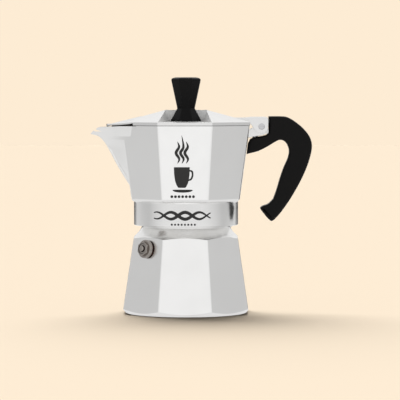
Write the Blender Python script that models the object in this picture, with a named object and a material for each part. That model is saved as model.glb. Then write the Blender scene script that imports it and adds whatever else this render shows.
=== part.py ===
"""Octagonal stovetop coffee pot: boiler, safety valve, funnel, collector on a screw thread, hinged lid.

The origin is the centre of the boiler's underside. +Z is up, the handle points to +X and the spout to -X.
"""

import math

import bmesh
import bpy
from mathutils import Matrix, Vector

MM = 0.001
GAP = 0.3  # clearance between touching pieces
SEGMENTS = 48  # sides of the large turned shapes
SMALL = 24  # sides of the small turned shapes
FLAT_TO_CORNER = math.tan(math.pi / 8)

# boiler
BOILER_BASE_AF = 42.65  # half the distance across flats, at z = 0
BOILER_TAPER = 0.1465  # lost from it for each millimetre of height
NECK_ROOT_R = 30.1
NECK_BORE_R = 27.5
NECK_TOP = 70.0
FLOOR = 4.0

# screw thread between boiler and collector, right-handed
PITCH = 3.2
MALE_START, MALE_TURNS, MALE_MAJOR_R = 58.8, 2.75, 31.25
FEMALE_MINOR_R, FEMALE_ROOT_R = 30.5, 31.75

# collector
SKIRT_R, SKIRT_BOTTOM = 35.4, 59.7
GASKET_SEAT = 74.7
COLLECTOR_FLOOR = 78.5
RIM = 127.3
RIM_AF = 43.2
WALL = 2.7
LIP_Z = 127.0
TIP_X, TIP_Z = 64.6, 121.5

# lid
LID_AF = 43.5
LID_BOTTOM, LID_EDGE = 127.6, 129.7
LID_SLOPE = 0.277
SHEET = 1.4
SEAT_FLOOR = 129.9
SEAT_R = 11.6  # the recess that the knob stands in
DRAFT = 0.36  # how far its walls lean out for each millimetre of height

# hinge
PIN_X, PIN_Z, PIN_R = 51.3, 126.7, 1.5
LUG_HALF, EAR_IN, EAR_OUT = 5.95, 6.3, 8.8

# handle
HANDLE_HALF = 6.0
SCREW_X = 47.0

# safety valve, on the facet between the front and the spout
VALVE_Z = 44.5
VALVE_HOLE_R = 4.3

for old in list(bpy.data.objects):
    bpy.data.objects.remove(old, do_unlink=True)


def metal(name, color, roughness, metallic=1.0):
    made = bpy.data.materials.new(name)
    made.use_nodes = True
    shader = made.node_tree.nodes["Principled BSDF"]
    shader.inputs["Base Color"].default_value = (*color, 1.0)
    shader.inputs["Roughness"].default_value = roughness
    shader.inputs["Metallic"].default_value = metallic
    return made


CAST = metal("cast_aluminium", (0.86, 0.85, 0.83), 0.32)
SPUN = metal("spun_aluminium", (0.80, 0.79, 0.77), 0.38)
NICKEL = metal("nickel_plate", (0.55, 0.54, 0.52), 0.25)
BRASS = metal("brass", (0.78, 0.60, 0.30), 0.35)
STEEL = metal("steel", (0.60, 0.60, 0.61), 0.30)
RUBBER = metal("white_rubber", (0.83, 0.80, 0.74), 0.70, 0.0)
FIBRE = metal("red_fibre", (0.42, 0.10, 0.06), 0.80, 0.0)
PHENOLIC = metal("black_phenolic", (0.012, 0.012, 0.013), 0.38, 0.0)


def finished(name, mesh, material=None, smooth=35):
    """The bmesh, in millimetres, as an object. With no material it is a cutter or another helper."""
    bmesh.ops.remove_doubles(mesh, verts=mesh.verts, dist=1e-5)
    bmesh.ops.recalc_face_normals(mesh, faces=mesh.faces)
    bmesh.ops.scale(mesh, vec=(MM, MM, MM), verts=mesh.verts)
    data = bpy.data.meshes.new(name)
    mesh.to_mesh(data)
    mesh.free()
    made = bpy.data.objects.new(name, data)
    bpy.context.collection.objects.link(made)
    if material:
        data.materials.append(material)
        data.shade_smooth()
        data.set_sharp_from_angle(angle=math.radians(smooth))
    else:
        made.hide_render = True
        made.display_type = "WIRE"
    return made


def turned(name, profile, material=None, segments=SEGMENTS):
    """A profile of (radius, z) turned about Z. It is closed, or it starts and ends on the axis."""
    mesh = bmesh.new()
    points = [mesh.verts.new((r, 0, z)) for r, z in profile]
    open_profile = profile[0][0] == 0 and profile[-1][0] == 0
    ends = zip(points, points[1:] + ([] if open_profile else points[:1]))
    edges = [mesh.edges.new(pair) for pair in ends]
    bmesh.ops.spin(
        mesh, geom=points + edges, cent=(0, 0, 0), axis=(0, 0, 1),
        angle=math.tau, steps=segments, use_merge=True,
    )
    return finished(name, mesh, material)


def lofted(name, sections, material=None):
    """A closed solid through sections, which are rings of the same number of points."""
    mesh = bmesh.new()
    rings = [[mesh.verts.new(point) for point in ring] for ring in sections]
    for low, high in zip(rings, rings[1:]):
        for i in range(len(low)):
            j = (i + 1) % len(low)
            mesh.faces.new((low[i], low[j], high[j], high[i]))
    mesh.faces.new(rings[0])
    mesh.faces.new(rings[-1])
    return finished(name, mesh, material)


def octagon_stack(name, levels, material=None):
    """Octagons with flats across X and Y, at (half across flats, z), joined."""
    def ring(half, z):
        corner = half * FLAT_TO_CORNER
        quarter = [(half, -corner), (half, corner)]
        points = []
        for _ in range(4):
            points += quarter
            quarter = [(-y, x) for x, y in quarter]
        return [(x, y, z) for x, y in points]

    return lofted(name, [ring(*level) for level in levels], material)


def plan_prism(name, outline, low, high, material=None):
    return lofted(name, [[(x, y, z) for x, y in outline] for z in (low, high)], material)


def side_prism(name, outline, near, far, material=None):
    """An outline of (x, z) extruded along Y."""
    return lofted(name, [[(x, y, z) for x, z in outline] for y in (near, far)], material)


def box(name, low, high):
    (x0, y0, z0), (x1, y1, z1) = low, high
    return plan_prism(name, [(x0, y0), (x1, y0), (x1, y1), (x0, y1)], z0, z1)


def rod(name, start, end, radius, material=None, segments=SMALL):
    """A plain cylinder from start to end."""
    mesh = bmesh.new()
    start, end = Vector(start), Vector(end)
    turn = (end - start).to_track_quat("Z", "Y").to_matrix().to_4x4()
    bmesh.ops.create_cone(
        mesh, cap_ends=True, segments=segments, radius1=radius, radius2=radius,
        depth=(end - start).length, matrix=Matrix.Translation((start + end) / 2) @ turn,
    )
    return finished(name, mesh, material)


def helix_ridge(name, start, turns, root, top, root_half, top_half, fade):
    """A trapezoid swept along a right-handed helix. start is its height at angle 0 and turns = (first, last)."""
    first, last = turns
    count = round((last - first) * SEGMENTS)
    sections = []
    for i in range(count + 1):
        turn = first + (last - first) * i / count
        angle, height = turn * math.tau, start + PITCH * turn
        whole = min(1.0, (0.04 + min(i, count - i)) / fade) if fade else 1.0
        outer, half = root + (top - root) * whole, root_half + (top_half - root_half) * whole
        shape = ((root, -root_half), (outer, -half), (outer, half), (root, root_half))
        sections.append(
            [(r * math.cos(angle), r * math.sin(angle), height + dz) for r, dz in shape]
        )
    return lofted(name, sections)


def smooth_path(points, steps=3):
    """Points on a Catmull-Rom curve through the given ones, with both ends kept."""
    padded = [points[0], *points, points[-1]]
    path = []
    for a, b, c, d in zip(padded, padded[1:], padded[2:], padded[3:]):
        for i in range(steps):
            t = i / steps
            path.append(tuple(
                0.5 * (2 * q + (r - p) * t + (2 * p - 5 * q + 4 * r - s) * t * t
                       + (3 * q - p - 3 * r + s) * t ** 3)
                for p, q, r, s in zip(a, b, c, d)
            ))
    return path + [points[-1]]


def between(table, at):
    """Linear interpolation in rows of (at, value)."""
    for (low, first), (high, second) in zip(table, table[1:]):
        if at <= high:
            return first + (second - first) * (at - low) / (high - low)
    return table[-1][1]


def combine(target, other, operation):
    step = target.modifiers.new(operation.lower(), "BOOLEAN")
    step.operation = operation
    step.object = other
    step.solver = "EXACT"


def cut(target, *others):
    for other in others:
        combine(target, other, "DIFFERENCE")


def join(target, *others):
    for other in others:
        combine(target, other, "UNION")


def perforate(target, radius, rows, spacing, low, high):
    """Rings of holes, six more in each ring than in the one inside it, cut in one step."""
    drills = bmesh.new()
    for row in range(rows + 1):
        for i in range(max(1, 6 * row)):
            angle = math.tau * i / max(1, 6 * row)
            x, y = row * spacing * math.cos(angle), row * spacing * math.sin(angle)
            bmesh.ops.create_cone(
                drills, cap_ends=True, segments=8, radius1=radius, radius2=radius,
                depth=high - low, matrix=Matrix.Translation((x, y, (low + high) / 2)),
            )
    cut(target, finished("drills", drills))


def pivot(name, at, *children):
    """An empty on a joint's axis, carrying the pieces that move with it."""
    empty = bpy.data.objects.new(name, None)
    empty.location = Vector(at) * MM
    empty.empty_display_size = 0.01
    bpy.context.collection.objects.link(empty)
    bpy.context.view_layer.update()
    for child in children:
        child.parent = empty
        child.matrix_parent_inverse = empty.matrix_world.inverted()
    return empty


# --- boiler: a cast and turned octagonal pan with a threaded neck
def boiler_af(z):
    return BOILER_BASE_AF - BOILER_TAPER * z


boiler = octagon_stack("boiler", [(boiler_af(-1), -1), (boiler_af(72), 72)], CAST)
envelope = turned("boiler_envelope", [
    (0, 0), (40.7, 0), (42.4, 1.7), (46.0, 4.0), (50.5, 6.9), (50.5, 42.5), (37.9, 50.4),
    (35.0, 52.2), (31.7, 55.5), (30.6, 57.4), (NECK_ROOT_R, 57.9), (NECK_ROOT_R, 69.5),
    (29.7, NECK_TOP), (0, NECK_TOP),
])
combine(boiler, envelope, "INTERSECT")
join(boiler, helix_ridge(
    "male_thread", MALE_START, (0, MALE_TURNS), 29.5, MALE_MAJOR_R, 1.3, 0.35, 8))
cut(boiler, turned("boiler_hollow", [
    (0, FLOOR), (36.4, FLOOR), (38.6, 6.2), (31.5, 50.0), (NECK_BORE_R, 54.0), (NECK_BORE_R, 72.0),
    (0, 72.0),
]))

# --- safety valve: its own axis runs out of the facet, with 0 on the facet's surface
lean = math.atan(BOILER_TAPER)
outward = Vector((-math.cos(lean) * math.sqrt(0.5), -math.cos(lean) * math.sqrt(0.5), math.sin(lean)))
valve_at = Vector((-boiler_af(VALVE_Z) * math.sqrt(0.5), -boiler_af(VALVE_Z) * math.sqrt(0.5), VALVE_Z))
valve_turn = Matrix.Translation(valve_at * MM) @ outward.to_track_quat("Z", "Y").to_matrix().to_4x4()


def on_valve(piece):
    piece.matrix_world = valve_turn
    return piece


cut(boiler, on_valve(rod("valve_hole", (0, 0, -9), (0, 0, 9), VALVE_HOLE_R)))
valve_body = on_valve(turned("valve_body", [
    (0, -6.5), (4.0, -6.5), (4.0, 1.0), (6.2, 1.0), (6.2, 2.9), (5.9, 3.2), (0, 3.2)], NICKEL, 32))
hexagon = [(5.0 * math.cos(math.tau * i / 6), 5.0 * math.sin(math.tau * i / 6)) for i in range(6)]
join(valve_body, on_valve(plan_prism("valve_boss", hexagon, 2.4, 4.9)))
cut(valve_body, on_valve(turned("valve_bore", [
    (0, -8), (1.6, -8), (1.6, -4.0), (2.9, -4.0), (2.9, 2.4), (3.5, 2.4), (3.5, 6), (0, 6)],
    segments=SMALL)))
valve_washer = on_valve(turned("valve_washer", [
    (4.3, 0.3), (5.1, 0.3), (5.1, 0.7), (4.3, 0.7)], FIBRE, SMALL))
valve_cap = on_valve(turned("valve_cap", [
    (2.1, 2.8), (3.2, 2.8), (3.2, 4.6), (2.3, 4.6), (2.1, 4.4)], NICKEL, SMALL))
valve_plunger = on_valve(turned("valve_plunger", [
    (0, -3.7), (2.5, -3.7), (2.5, -2.7), (1.1, -2.7), (1.1, 2.0), (1.8, 2.0), (1.8, 5.6), (1.3, 6.0),
    (0, 6.0)], NICKEL, 16))


def coil(name, radius, wire, low, high, turns, material, sides=6, steps=14):
    count = round(turns * steps)
    sections = []
    for i in range(count + 1):
        angle, height = math.tau * i / steps, low + wire + (high - low - 2 * wire) * i / count
        sections.append([
            ((radius + wire * math.cos(a)) * math.cos(angle),
             (radius + wire * math.cos(a)) * math.sin(angle), height + wire * math.sin(a))
            for a in (math.tau * k / sides for k in range(sides))
        ])
    return lofted(name, sections, material)


valve_spring = on_valve(coil("valve_spring", 1.85, 0.25, -2.4, 1.2, 4, STEEL))
pivot("valve_axis", valve_at, valve_plunger, valve_spring)

# --- funnel: spun sheet, hung by its flange on the neck's rim, with a perforated screen
FLANGE = NECK_TOP + GAP
funnel = turned("funnel", [
    (30.0, FLANGE), (25.6, FLANGE), (25.6, 50.0), (4.6, 45.5), (4.6, 5.3 + FLOOR), (3.9, 5.3 + FLOOR),
    (3.9, 46.0), (24.9, 50.5), (24.9, FLANGE + 0.8), (30.0, FLANGE + 0.8)], SPUN)
funnel_screen = turned("funnel_screen", [(0, 50.9), (24.5, 50.9), (24.5, 51.6), (0, 51.6)], SPUN)
perforate(funnel_screen, 0.4, 3, 6.0, 50, 53)

# --- gasket and filter plate, pressed up into the collector's underside
gasket = turned("gasket", [(24.8, 71.4), (31.4, 71.4), (31.4, 74.4), (24.8, 74.4)], RUBBER)
filter_plate = turned("filter_plate", [(0, 74.75), (27.4, 74.75), (27.4, 75.45), (0, 75.45)], SPUN)
perforate(filter_plate, 0.4, 3, 6.5, 74, 77)

# --- collector: octagonal casting with a turned skirt, an upright spout and the hinge's lug
def collector_af(z):
    return 36.9 + (RIM_AF - 36.9) * (z - 80.5) / (RIM - 80.5)


collector = octagon_stack("collector", [
    (35.25, 75.9), (36.0, 76.6), (36.6, 78.2), (36.9, 80.5), (RIM_AF, RIM)], CAST)
join(collector, turned("skirt", [
    (0, SKIRT_BOTTOM), (34.9, SKIRT_BOTTOM), (SKIRT_R, SKIRT_BOTTOM + 0.5), (SKIRT_R, 77.5), (0, 77.5)]))

KEEL = [(84, 36.6), (86, 37.6), (88, 38.9), (90, 40.2), (100, 46.4), (108.5, 50.9), (115.5, 54.9),
        (120, 59.3), (TIP_Z, TIP_X), (RIM, 65.5)]
FLARE = KEEL[:7] + [(RIM, 66.0)]  # how far the flat of each side would run
FOLD = [(84, 15.4), (97, 16.4), (102, 18.2), (110, 20.6), (118, 23.1), (RIM, 26.0)]
INSET = [(84, 1.4), (90, 0.4), (RIM, 0.4)]
BEAK = [(84, 1.2), (100, 2.0), (110, 2.6), (119, 3.2), (TIP_Z, 4.0), (130, 4.0)]
TROUGH = [(93, 37.5), (97, 41.0), (101, 43.8), (108.5, 48.0), (115.5, 51.9), (119, 54.6),
          (121, 57.4), (122.3, 61.0), (123.4, 66.5), (130, 67.5)]


def fold_at(z):
    """Where the spout's side leaves the collector's facets, as (x, y)."""
    y, half = between(FOLD, z), collector_af(z)
    return min(half, half * math.sqrt(2) - y) - between(INSET, z), y


def beak_half(x, z):
    """Half the spout's outer width at a distance x from the pot's axis."""
    x0, y0 = fold_at(z)
    x1 = between(FLARE, z)
    return y0 + (between(BEAK, z) - y0) * (x - x0) / (x1 - x0)


def spout_ring(z):
    front, (x, y) = between(KEEL, z), fold_at(z)
    nose = min(front - min(1.0, 0.4 * (front - x)), between(FLARE, z))
    half = beak_half(nose, z)
    side = [(20.0, y), (x, y), (nose, half), (front, max(0.4, half - 1.0))]
    return [(-px, -py, z) for px, py in side] + [(-px, py, z) for px, py in reversed(side)]


def trough_ring(z):
    front, (x, y) = between(TROUGH, z), fold_at(z)
    side = [(20.0, max(0.8, y - 3.4)), (x - 2.4, max(0.8, y - 3.4)),
            (front, max(0.9, beak_half(min(front, 61.0), min(z, RIM)) - 2.6))]
    return [(-px, -py, z) for px, py in side] + [(-px, py, z) for px, py in reversed(side)]


join(collector, lofted("spout", [spout_ring(z) for z in (
    84, 86, 88, 90, 97, 100, 102, 106, 108.5, 110, 112, 115.5, 118, 120, TIP_Z, RIM)]))
lug = smooth_path([(PIN_X + 4.3 * math.cos(a), PIN_Z + 4.3 * math.sin(a)) for a in (
    math.radians(d) for d in range(-40, 181, 20))], 1)
join(collector, side_prism("lug", lug + [
    (42.3, 124.4), (40.5, 124.4), (40.5, 119.2), (43.5, 119.2), (46.1, 119.9), (52.2, 120.8),
    (54.0, 121.6)], -LUG_HALF, LUG_HALF))
join(collector, side_prism("tongue", [
    (50.0, 121.2), (54.0, 121.9), (61.5, 120.2), (61.5, 124.6), (54.5, 125.4), (50.0, 125.0)], -1.9, 1.9))
cut(collector, octagon_stack("collector_hollow", [
    (31.8, COLLECTOR_FLOOR), (33.4, 79.2), (collector_af(81) - WALL, 81), (collector_af(140) - WALL, 140)]))
cut(collector, lofted("trough", [trough_ring(z) for z in (
    93, 97, 101, 108.5, 115.5, 119, 121, 122.3, 123.4, 130)]))
cut(collector, side_prism("lip", [
    (-70.0, 120.9), (-TIP_X, 121.9), (-62.3, 124.3), (-59.3, 126.1), (-56.5, 126.3), (-51.0, 126.6),
    (-44.0, LIP_Z), (-33.0, LIP_Z), (-33.0, 140.0), (-70.0, 140.0)], -40, 40))
cut(collector, turned("skirt_bore", [
    (0, 58), (31.9, 58), (31.9, 60.0), (FEMALE_MINOR_R, 61.2), (FEMALE_MINOR_R, 69.2), (31.9, 69.6),
    (31.9, GASKET_SEAT), (27.8, GASKET_SEAT), (27.8, 75.8), (0, 75.8)]))
cut(collector, helix_ridge(
    "female_thread", MALE_START, (-0.5, 3.0), 30.0, FEMALE_ROOT_R, 1.36, 0.48, 0))
cut(collector, rod("column_hole", (0, 0, 74), (0, 0, 80), 6.2))
cut(collector, rod("pin_hole", (PIN_X, -9, PIN_Z), (PIN_X, 9, PIN_Z), PIN_R + GAP))
cut(collector, rod("lug_screw_hole", (SCREW_X, 0, 117), (SCREW_X, 0, 124.2), 2.2, segments=16))

# --- column: the tube that the coffee rises through, pressed into the collector's floor
column = turned("column", [
    (0, 110.4), (3.4, 110.2), (4.7, 76.2), (5.9, 76.2), (5.9, 78.8), (7.6, 78.8), (5.2, 111.0),
    (4.2, 112.3), (0, 112.3)], SPUN, SMALL)
cut(column, box("window", (-1.8, -9, 103.5), (1.8, 9, 108.5)))

# --- lid: a thin casting with a low eight-sided roof, a recess for the knob and a beak over the spout
def seat(grow, low):
    """The recess, open to the front and round behind the knob, with leaning walls."""
    def outline(z):
        out = grow + DRAFT * (z - low)
        back = [((SEAT_R + out) * math.cos(a), (SEAT_R + out) * math.sin(a)) for a in (
            math.pi * i / 16 for i in range(17))]
        plan = [(19.2 + out, -50), (SEAT_R + out, -10), *back, (-SEAT_R - out, -10), (-19.2 - out, -50)]
        return [(x, y, z) for x, y in plan]

    return lofted("seat", [outline(low), outline(150)])


def pyramid(name, half, low, edge, material=None):
    return octagon_stack(name, [(half, low), (half, edge), (8.0, edge + LID_SLOPE * (half - 8.0))], material)


BEAK_ROWS = [  # distance from the pot's axis, half width, height of the edge's underside
    (30.5, 21.0, 130.3), (32.5, 23.0, 129.9), (35.0, 23.4, 129.2), (38.0, 21.6, 128.5), (44.0, 16.8, 127.9),
    (48.0, 13.0, 127.6), (51.0, 9.4, 127.5), (53.0, 6.0, 127.45), (54.0, 2.6, 127.4)]


def ridge_at(x):
    """The top of the beak's middle line."""
    return 130.8 - 0.25 * (x - 42.0)


lid = pyramid("lid", LID_AF, LID_BOTTOM, LID_EDGE, CAST)
join(lid, side_prism("hinge_pad", [
    (29.0, 131.5), (31.2, 132.7), (42.5, 132.7), (42.5, 128.6), (29.0, 128.6)], -EAR_OUT, EAR_OUT))
cut(lid, seat(0, SEAT_FLOOR))
inner_half = LID_AF - 2.3
lid_hollow = pyramid("lid_hollow", inner_half, 127, LID_EDGE - SHEET + LID_SLOPE * 2.3)
join(lid_hollow, side_prism("pad_hollow", [
    (32.4, 131.3), (inner_half, 131.3), (inner_half, 127.2), (32.4, 127.2)], 1.4 - EAR_OUT, EAR_OUT - 1.4))
cut(lid_hollow, seat(SHEET, SEAT_FLOOR - SHEET))
cut(lid, lid_hollow)
cut(lid, box("beak_mouth", (-60, -60, 120), (-35.2, 60, 140)))
join(lid, lofted("lid_beak", [
    [(-x, -w, edge), (-x, 0, ridge_at(x) - 1.3), (-x, w, edge), (-x, w, edge + 1.0), (-x, 0, ridge_at(x)),
     (-x, -w, edge + 1.0)]
    for x, w, edge in BEAK_ROWS]))
join(lid, side_prism("beak_rib", [
    (-50.5, 126.4), (-32.0, 126.4), (-32.0, 132.3), (-50.5, 128.1)], -0.8, 0.8))
ear_outline = smooth_path([
    (43.9, 133.2), (48.0, 133.2), (52.5, 133.2), (55.0, 132.9), (55.8, 131.4), (55.8, 127.6), (55.3, 124.6),
    (53.8, 122.7), (51.4, 122.1), (49.0, 122.6), (46.9, 124.1), (45.3, 126.4), (43.9, 128.4)], 2)
for side in (-1, 1):
    join(lid, side_prism("ear", ear_outline + [(39.2, 129.0), (39.2, 132.7), (42.5, 132.9)],
                         side * EAR_IN, side * EAR_OUT))
cut(lid, rod("ear_hole", (PIN_X, -12, PIN_Z), (PIN_X, 12, PIN_Z), PIN_R + GAP))
cut(lid, rod("knob_hole", (0, 0, 126), (0, 0, 132), 2.0, segments=16))

# --- knob: moulded phenolic on a threaded insert, held by a screw and washer from below the lid
knob = octagon_stack("knob", [
    (10.3, 130.2), (10.3, 130.8), (5.95, 138.9), (9.9, 157.6), (9.9, 158.5), (9.3, 159.3), (7.0, 160.0)],
    PHENOLIC)
cut(knob, rod("knob_bore", (0, 0, 129), (0, 0, 139.6), 3.3))
knob_insert = turned("knob_insert", [(1.9, 130.5), (3.0, 130.5), (3.0, 139.2), (1.9, 139.2)], BRASS, 16)
knob_washer = turned("knob_washer", [(2.0, 127.3), (4.5, 127.3), (4.5, 128.2), (2.0, 128.2)], STEEL, SMALL)
knob_screw = turned("knob_screw", [
    (0, 124.9), (2.4, 124.9), (3.4, 125.9), (3.4, 127.0), (1.6, 127.0), (1.6, 137.0), (1.1, 137.6),
    (0, 137.6)], STEEL, 16)
cut(knob_screw, box("knob_slot", (-5, -0.4, 124), (5, 0.4, 125.7)))

# --- hinge pin: a rivet through the ears and the lug
hinge_pin = turned("hinge_pin", [
    (0, -9.8), (1.6, -9.8), (2.1, -9.4), (2.1, -9.1), (PIN_R, -9.1), (PIN_R, 9.1), (2.1, 9.1),
    (2.1, 9.4), (1.6, 9.8), (0, 9.8)], STEEL, 16)
hinge_pin.matrix_world = Matrix.Translation((PIN_X * MM, 0, PIN_Z * MM)) @ Matrix.Rotation(
    math.pi / 2, 4, "X")

# --- handle: moulded phenolic, forked round the lug and screwed to it from below
outer_edge = smooth_path([
    (56.0, 133.6), (64.3, 133.6), (68.8, 133.0), (73.8, 130.2), (79.6, 125.4), (84.0, 119.6),
    (85.5, 113.6), (84.4, 106.4), (81.2, 97.0), (76.4, 87.0), (70.3, 76.6), (64.3, 68.2), (60.0, 63.4)], 2)
tip_edge = smooth_path([(60.0, 63.4), (57.8, 62.5), (54.9, 65.1), (51.6, 69.2), (50.4, 71.3), (52.1, 72.8),
                        (55.8, 74.2), (59.2, 77.6)], 2)
inner_edge = smooth_path([
    (59.2, 77.6), (61.5, 84.0), (63.8, 91.8), (66.3, 99.0), (69.0, 105.2), (69.9, 110.0), (68.7, 114.4),
    (66.2, 117.0), (63.7, 117.5), (61.2, 116.6), (55.2, 113.0), (49.1, 110.0), (41.1, 107.9)], 2)
prong = [(42.05, 115.3), (43.6, 118.2), (46.1, 119.4), (52.2, 120.3), (54.4, 121.0), (56.0, 122.4)]
handle = side_prism("handle", outer_edge[:-1] + tip_edge[:-1] + inner_edge + prong,
                    -HANDLE_HALF, HANDLE_HALF, PHENOLIC)
soften = handle.modifiers.new("soften", "BEVEL")
soften.width = 1.3 * MM
soften.segments = 2
soften.limit_method = "ANGLE"
soften.angle_limit = math.radians(60)
cut(handle, box("handle_slot", (50.0, -2.2, 119.8), (61.9, 2.2, 126.2)))
cut(handle, rod("handle_hole", (SCREW_X, 0, 105), (SCREW_X, 0, 122), 2.2, segments=16))
cut(handle, rod("head_recess", (SCREW_X, 0, 105), (SCREW_X, 0, 112.2), 3.7, segments=16))
handle_screw = turned("handle_screw", [
    (0, 109.7), (2.4, 109.7), (3.3, 110.5), (3.3, 111.8), (1.85, 111.8), (1.85, 123.2), (1.3, 123.8),
    (0, 123.8)], STEEL, 16)
cut(handle_screw, box("handle_screw_slot", (-5, -0.4, 109), (5, 0.4, 110.6)))
handle_screw.location.x = SCREW_X * MM
bpy.data.objects["handle_screw_slot"].location.x = SCREW_X * MM

# --- what moves together
lid_axis = pivot("lid_axis", (PIN_X, 0, PIN_Z), lid, knob, knob_insert, knob_washer, knob_screw)
turn_axis = pivot("turn_axis", (0, 0, 0), collector, column, hinge_pin, handle, handle_screw, lid_axis)
pivot("lift_axis", (0, 0, 0), gasket, filter_plate, turn_axis)
pivot("funnel_axis", (0, 0, 0), funnel, funnel_screen)
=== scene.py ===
import math

import bmesh
import bpy
from mathutils import Matrix, Vector


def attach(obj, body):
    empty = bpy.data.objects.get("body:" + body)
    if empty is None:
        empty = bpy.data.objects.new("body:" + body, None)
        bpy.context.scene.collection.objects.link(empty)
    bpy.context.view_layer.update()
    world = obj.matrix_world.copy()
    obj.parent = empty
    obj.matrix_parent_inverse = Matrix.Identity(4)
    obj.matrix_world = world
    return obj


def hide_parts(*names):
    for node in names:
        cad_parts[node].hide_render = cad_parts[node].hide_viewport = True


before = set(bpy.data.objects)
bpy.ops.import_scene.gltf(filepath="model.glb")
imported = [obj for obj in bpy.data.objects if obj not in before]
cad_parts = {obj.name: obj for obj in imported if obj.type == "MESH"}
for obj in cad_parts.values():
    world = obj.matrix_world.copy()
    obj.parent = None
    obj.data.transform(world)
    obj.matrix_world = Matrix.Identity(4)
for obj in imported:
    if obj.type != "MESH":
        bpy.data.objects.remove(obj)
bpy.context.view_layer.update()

# --- Stage -------------------------------------------------------------------------------------
# A pale cream floor running into a cream backdrop, a long lens at the height of the lid, and a
# neutral studio: a broad white panel in front, greyer at the sides, light behind, one soft lamp high at the back.
CREAM = (0.984, 0.838, 0.658)
CAMERA_AT = (0.030, -1.700, 0.146)
CAMERA_AIM = (0.0095, 0.0, 0.0766)
LENS = 225.0
FLOOR_SIDE = 12.0

view = bpy.data.cameras.new("view")
view.lens = LENS
view.sensor_width = 36.0
view.clip_start, view.clip_end = 0.05, 50.0
camera = bpy.data.objects.new("view", view)
camera.location = CAMERA_AT
camera.rotation_euler = (Vector(CAMERA_AIM) - Vector(CAMERA_AT)).to_track_quat("-Z", "Y").to_euler()
bpy.context.collection.objects.link(camera)
bpy.context.scene.camera = camera
bpy.context.scene.view_settings.view_transform = "Standard"

floor_mesh = bmesh.new()
bmesh.ops.create_grid(floor_mesh, x_segments=1, y_segments=1, size=FLOOR_SIDE / 2)
floor_data = bpy.data.meshes.new("floor")
floor_mesh.to_mesh(floor_data)
floor_mesh.free()
floor = bpy.data.objects.new("floor", floor_data)
floor.location.z = -0.0002
floor.visible_glossy = False
bpy.context.collection.objects.link(floor)


def wired(tree, kind, inputs=(), **settings):
    """A node of that kind. Its settings are set, then its inputs, each a plain value or another node's socket."""
    node = tree.nodes.new(kind)
    for name, value in settings.items():
        setattr(node, name, value)
    for name, value in dict(inputs).items():
        if isinstance(value, bpy.types.NodeSocket):
            tree.links.new(value, node.inputs[name])
        else:
            node.inputs[name].default_value = value
    return node


def graded(tree, value, stops):
    """A colour ramp over value with stops of (place, brightness or colour)."""
    node = wired(tree, "ShaderNodeValToRGB", {"Fac": value})
    while len(node.color_ramp.elements) < len(stops):
        node.color_ramp.elements.new(0.5)
    for element, (place, shade) in zip(node.color_ramp.elements, stops):
        element.position = place
        element.color = (*shade, 1.0) if isinstance(shade, tuple) else (shade, shade, shade, 1.0)
    return node.outputs["Color"]


floor_material = bpy.data.materials.new("cream_floor")
floor_material.use_nodes = True
tree = floor_material.node_tree
tree.nodes.clear()
paint = wired(tree, "ShaderNodeBsdfDiffuse", {"Color": (*CREAM, 1.0)})
tree.links.new(paint.outputs[0], wired(tree, "ShaderNodeOutputMaterial").inputs["Surface"])
floor_data.materials.append(floor_material)

world = bpy.data.worlds.new("studio")
bpy.context.scene.world = world
world.use_nodes = True
tree = world.node_tree
tree.nodes.clear()
direction = wired(tree, "ShaderNodeTexCoord").outputs["Generated"]
parts = wired(tree, "ShaderNodeSeparateXYZ", {"Vector": direction}).outputs
flat = wired(tree, "ShaderNodeVectorMath", {0: direction, 1: (1, 1, 0)}, operation="MULTIPLY")
level = wired(tree, "ShaderNodeVectorMath", {0: flat.outputs[0]}, operation="NORMALIZE")
facing = wired(tree, "ShaderNodeVectorMath", {0: level.outputs[0], 1: (0, -1, 0)}, operation="DOT_PRODUCT")
turned_away = wired(tree, "ShaderNodeMath", {0: facing.outputs["Value"]}, operation="ARCCOSINE")
around = wired(tree, "ShaderNodeMath", {0: turned_away.outputs[0], 1: math.pi}, operation="DIVIDE")
below = graded(tree, around.outputs[0], [
    (0.0, 0.97), (0.30, 0.88), (0.41, 0.71), (0.49, 0.54), (0.60, 0.68), (0.78, 0.74), (1.0, 0.74)])
above = graded(tree, around.outputs[0], [
    (0.0, 0.88), (0.25, 0.86), (0.41, 0.70), (0.49, 0.56), (0.60, 0.56), (0.75, 0.75), (0.90, 0.82), (1.0, 0.82)])
level_with = graded(tree, around.outputs[0], [
    (0.0, 0.60), (0.20, 0.68), (0.42, 0.56), (0.49, 0.48), (0.60, 0.50), (0.77, 0.66), (0.84, 0.05), (0.93, 0.05),
    (0.97, 0.50), (1.0, 0.48)])
rise = wired(tree, "ShaderNodeMapRange", {"Value": parts["Z"], "From Min": -0.03, "From Max": 0.03})
high_up = wired(tree, "ShaderNodeMapRange", {"Value": parts["Z"], "From Min": 0.45, "From Max": 0.85})
low_down = wired(tree, "ShaderNodeMapRange", {"Value": parts["Z"], "From Min": -0.28, "From Max": -0.42})
height = wired(tree, "ShaderNodeMath", {0: parts["Z"]}, operation="ABSOLUTE")
near_level = wired(tree, "ShaderNodeMapRange", {
    "Value": height.outputs[0], "From Min": 0.05, "From Max": 0.08, "To Min": 1.0, "To Max": 0.0})


def blended(tree, factor, first, second):
    """A mix of two colours by a factor."""
    node = wired(tree, "ShaderNodeMix", data_type="RGBA")
    tree.links.new(factor, node.inputs[0])
    for socket, value in ((node.inputs[6], first), (node.inputs[7], second)):
        if isinstance(value, bpy.types.NodeSocket):
            tree.links.new(value, socket)
        else:
            socket.default_value = (value, value, value, 1.0)
    return node.outputs[2]


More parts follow.
